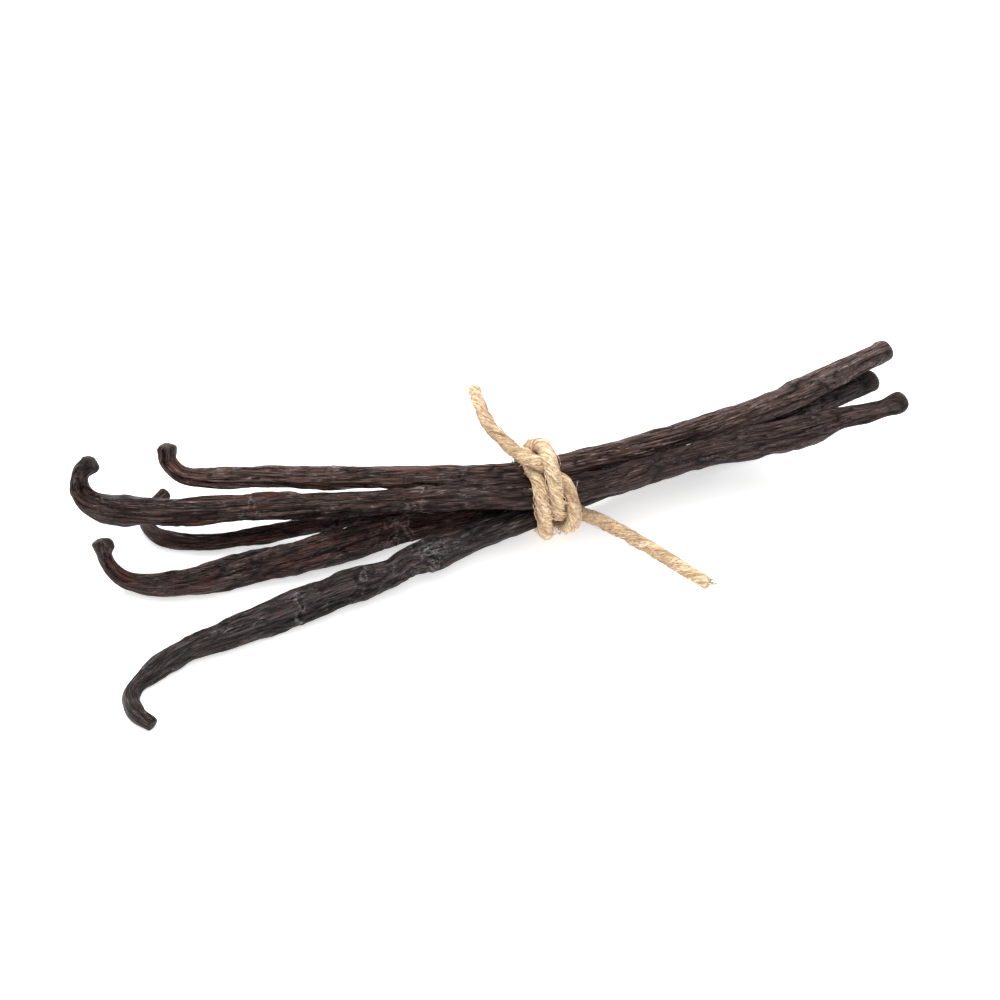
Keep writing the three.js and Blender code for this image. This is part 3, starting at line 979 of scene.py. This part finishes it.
    def fray(self, row, way):
        """Open fibres at an end of the twine."""
        rng = self.rng
        share = np.linspace(0, 1, FIBRE_POINTS)[:, None]
        for _ in range(FRAY["count"]):
            out = self.outward(row, rng.uniform(0, 2 * math.pi))
            start = self.centre[row] + out * rng.uniform(*FRAY["distance"])
            start = start - self.along[row] * way * FRAY["inside"]
            length = FRAY["inside"] + rng.uniform(*FRAY["past"])
            line = start + self.along[row] * way * length * share
            line = line + out * rng.uniform(*FRAY["flare"]) * share**2
            line = line + rng.normal(0, FRAY["uneven"], line.shape)
            radius = rng.uniform(*FRAY["radius"])
            self.fibre(line, radius, rng.uniform(*FRAY["shade"]))

    def finish(self, name):
        fields = {"straight": np.vstack(self.straight), "shade": np.concatenate(self.shade)}
        faces = np.vstack(self.quads), np.vstack(self.triangles)
        return mesh_object(name, np.vstack(self.points), *faces, fields)


def make_twine():
    twine = Strands(frames_along(twine_route(), STRAND_RING_STEP))
    for number, shade in enumerate(STRAND_SHADES):
        twine.strand(number, shade)
    for layer in FUZZ:
        twine.fuzz(*layer)
    twine.fibre(np.array(LOOSE_YARN), LOOSE_YARN_RADIUS, LOOSE_YARN_SHADE)
    twine.stray()
    twine.fray(0, -1)
    twine.fray(twine.last, 1)
    return twine.finish("twine_strands")


def twine_material():
    n = Nodes("twine_jute")
    straight = n.attribute("straight", vector=True)
    noise = {key: n.noise(straight, **facts) for key, facts in TWINE_NOISES.items()}
    mask = {key: n.ramp(noise[key], *JUTE_RANGES[key]) for key in noise}
    # Thin lines of painted shade between the fibres.
    shade_lines = n.thin_lines(straight, **TWINE_SHADE_LINES)
    specks_and_shade_lines = n.math("MAXIMUM", mask["specks"], shade_lines)
    colour = n.mix(mask["fibres"], JUTE_DARK, JUTE_LIGHT)
    colour = n.mix(n.product(mask["patches"], PATCH_SHARE), colour, JUTE_PATCH)
    colour = n.mix(n.product(n.attribute("shade"), PALE_SHARE), colour, JUTE_PALE)
    # Dark specks, and painted shade along the thin lines.
    colour = n.mix(n.product(specks_and_shade_lines, SPECK_AND_SHADE_SHARE), colour, JUTE_SPECKS_AND_SHADE)
    n.link(colour, n.shader.inputs["Base Color"])
    n.shader.inputs["Roughness"].default_value = TWINE_ROUGHNESS
    n.shader.inputs["Specular IOR Level"].default_value = TWINE_SPECULAR
    n.shader.inputs["Sheen Weight"].default_value = TWINE_SHEEN
    normal = n.bump(noise["fibres"], TWINE_RELIEF * MM, TWINE_RELIEF_STRENGTH)
    n.link(normal, n.shader.inputs["Normal"])
    return n.material


def make_floor():
    far = FLOOR_REACH
    corners = [(-far, -far, 0), (far, -far, 0), (far, far, 0), (-far, far, 0)]
    mesh = bpy.data.meshes.new("floor")
    mesh.from_pydata(corners, [], [(0, 1, 2, 3)])
    floor = bpy.data.objects.new("floor", mesh)
    bpy.context.scene.collection.objects.link(floor)
    material = bpy.data.materials.new("floor_white")
    material.use_nodes = True
    shader = material.node_tree.nodes["Principled BSDF"]
    shader.inputs["Base Color"].default_value = (*FLOOR_COLOUR, 1)
    shader.inputs["Roughness"].default_value = FLOOR_ROUGHNESS
    shader.inputs["Specular IOR Level"].default_value = FLOOR_SPECULAR
    shader.inputs["Emission Color"].default_value = (*WHITE, 1)
    shader.inputs["Emission Strength"].default_value = FLOOR_GLOW
    mesh.materials.append(material)


def make_light(name, size, power, place):
    light = bpy.data.lights.new(name, "AREA")
    light.shape = "DISK"
    light.size = size
    light.energy = power
    lamp = bpy.data.objects.new(name, light)
    lamp.location = place
    towards = Vector(LIGHT_TARGET) - Vector(place)
    lamp.rotation_euler = towards.to_track_quat("-Z", "Y").to_euler()
    bpy.context.scene.collection.objects.link(lamp)


def make_lights():
    for name, facts in LIGHTS.items():
        make_light(name, *facts)
    world = bpy.data.worlds.new("studio")
    world.use_nodes = True
    background = world.node_tree.nodes["Background"]
    background.inputs["Color"].default_value = (*WHITE, 1)
    background.inputs["Strength"].default_value = WORLD_STRENGTH
    bpy.context.scene.world = world


def make_camera():
    azimuth, elevation = math.radians(CAMERA_AZIMUTH), math.radians(CAMERA_ELEVATION)
    back = Vector((
        math.sin(azimuth) * math.cos(elevation),
        -math.cos(azimuth) * math.cos(elevation),
        math.sin(elevation),
    ))
    right = Vector((math.cos(azimuth), math.sin(azimuth), 0))
    up = back.cross(right)
    per_pixel = FRAME_HALF_WIDTH * 2 / FRAME_PIXELS
    place = Vector(WAIST_POINT) + Vector(ROUTE_TO_FRAME) + back * CAMERA_DISTANCE
    place -= right * (WAIST_PIXEL[0] - FRAME_PIXELS / 2) * per_pixel
    place += up * (WAIST_PIXEL[1] - FRAME_PIXELS / 2) * per_pixel
    data = bpy.data.cameras.new("camera")
    data.sensor_fit = "HORIZONTAL"
    data.lens = data.sensor_width / 2 * CAMERA_DISTANCE / FRAME_HALF_WIDTH
    data.clip_start = CLIP_START
    data.clip_end = CLIP_END
    camera = bpy.data.objects.new("camera", data)
    turned = Matrix((right, up, back)).transposed().to_4x4()
    camera.matrix_world = Matrix.Translation(place * MM) @ turned
    bpy.context.scene.collection.objects.link(camera)
    bpy.context.scene.camera = camera


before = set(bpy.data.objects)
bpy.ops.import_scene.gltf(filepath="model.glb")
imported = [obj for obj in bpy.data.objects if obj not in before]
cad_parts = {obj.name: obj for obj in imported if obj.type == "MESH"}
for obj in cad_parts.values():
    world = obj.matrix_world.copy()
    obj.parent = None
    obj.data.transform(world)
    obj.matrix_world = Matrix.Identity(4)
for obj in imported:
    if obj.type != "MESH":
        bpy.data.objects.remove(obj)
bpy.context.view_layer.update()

for node, facts in PODS.items():
    skin = make_pod(node, facts)
    skin.data.materials.append(pod_material(node + "_waxy", facts))
    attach(skin, "root")
    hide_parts(node)

strands = make_twine()
strands.data.materials.append(twine_material())
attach(strands, "root")
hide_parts("twine")

make_floor()
make_lights()
make_camera()
bpy.context.scene.view_settings.view_transform = "Standard"
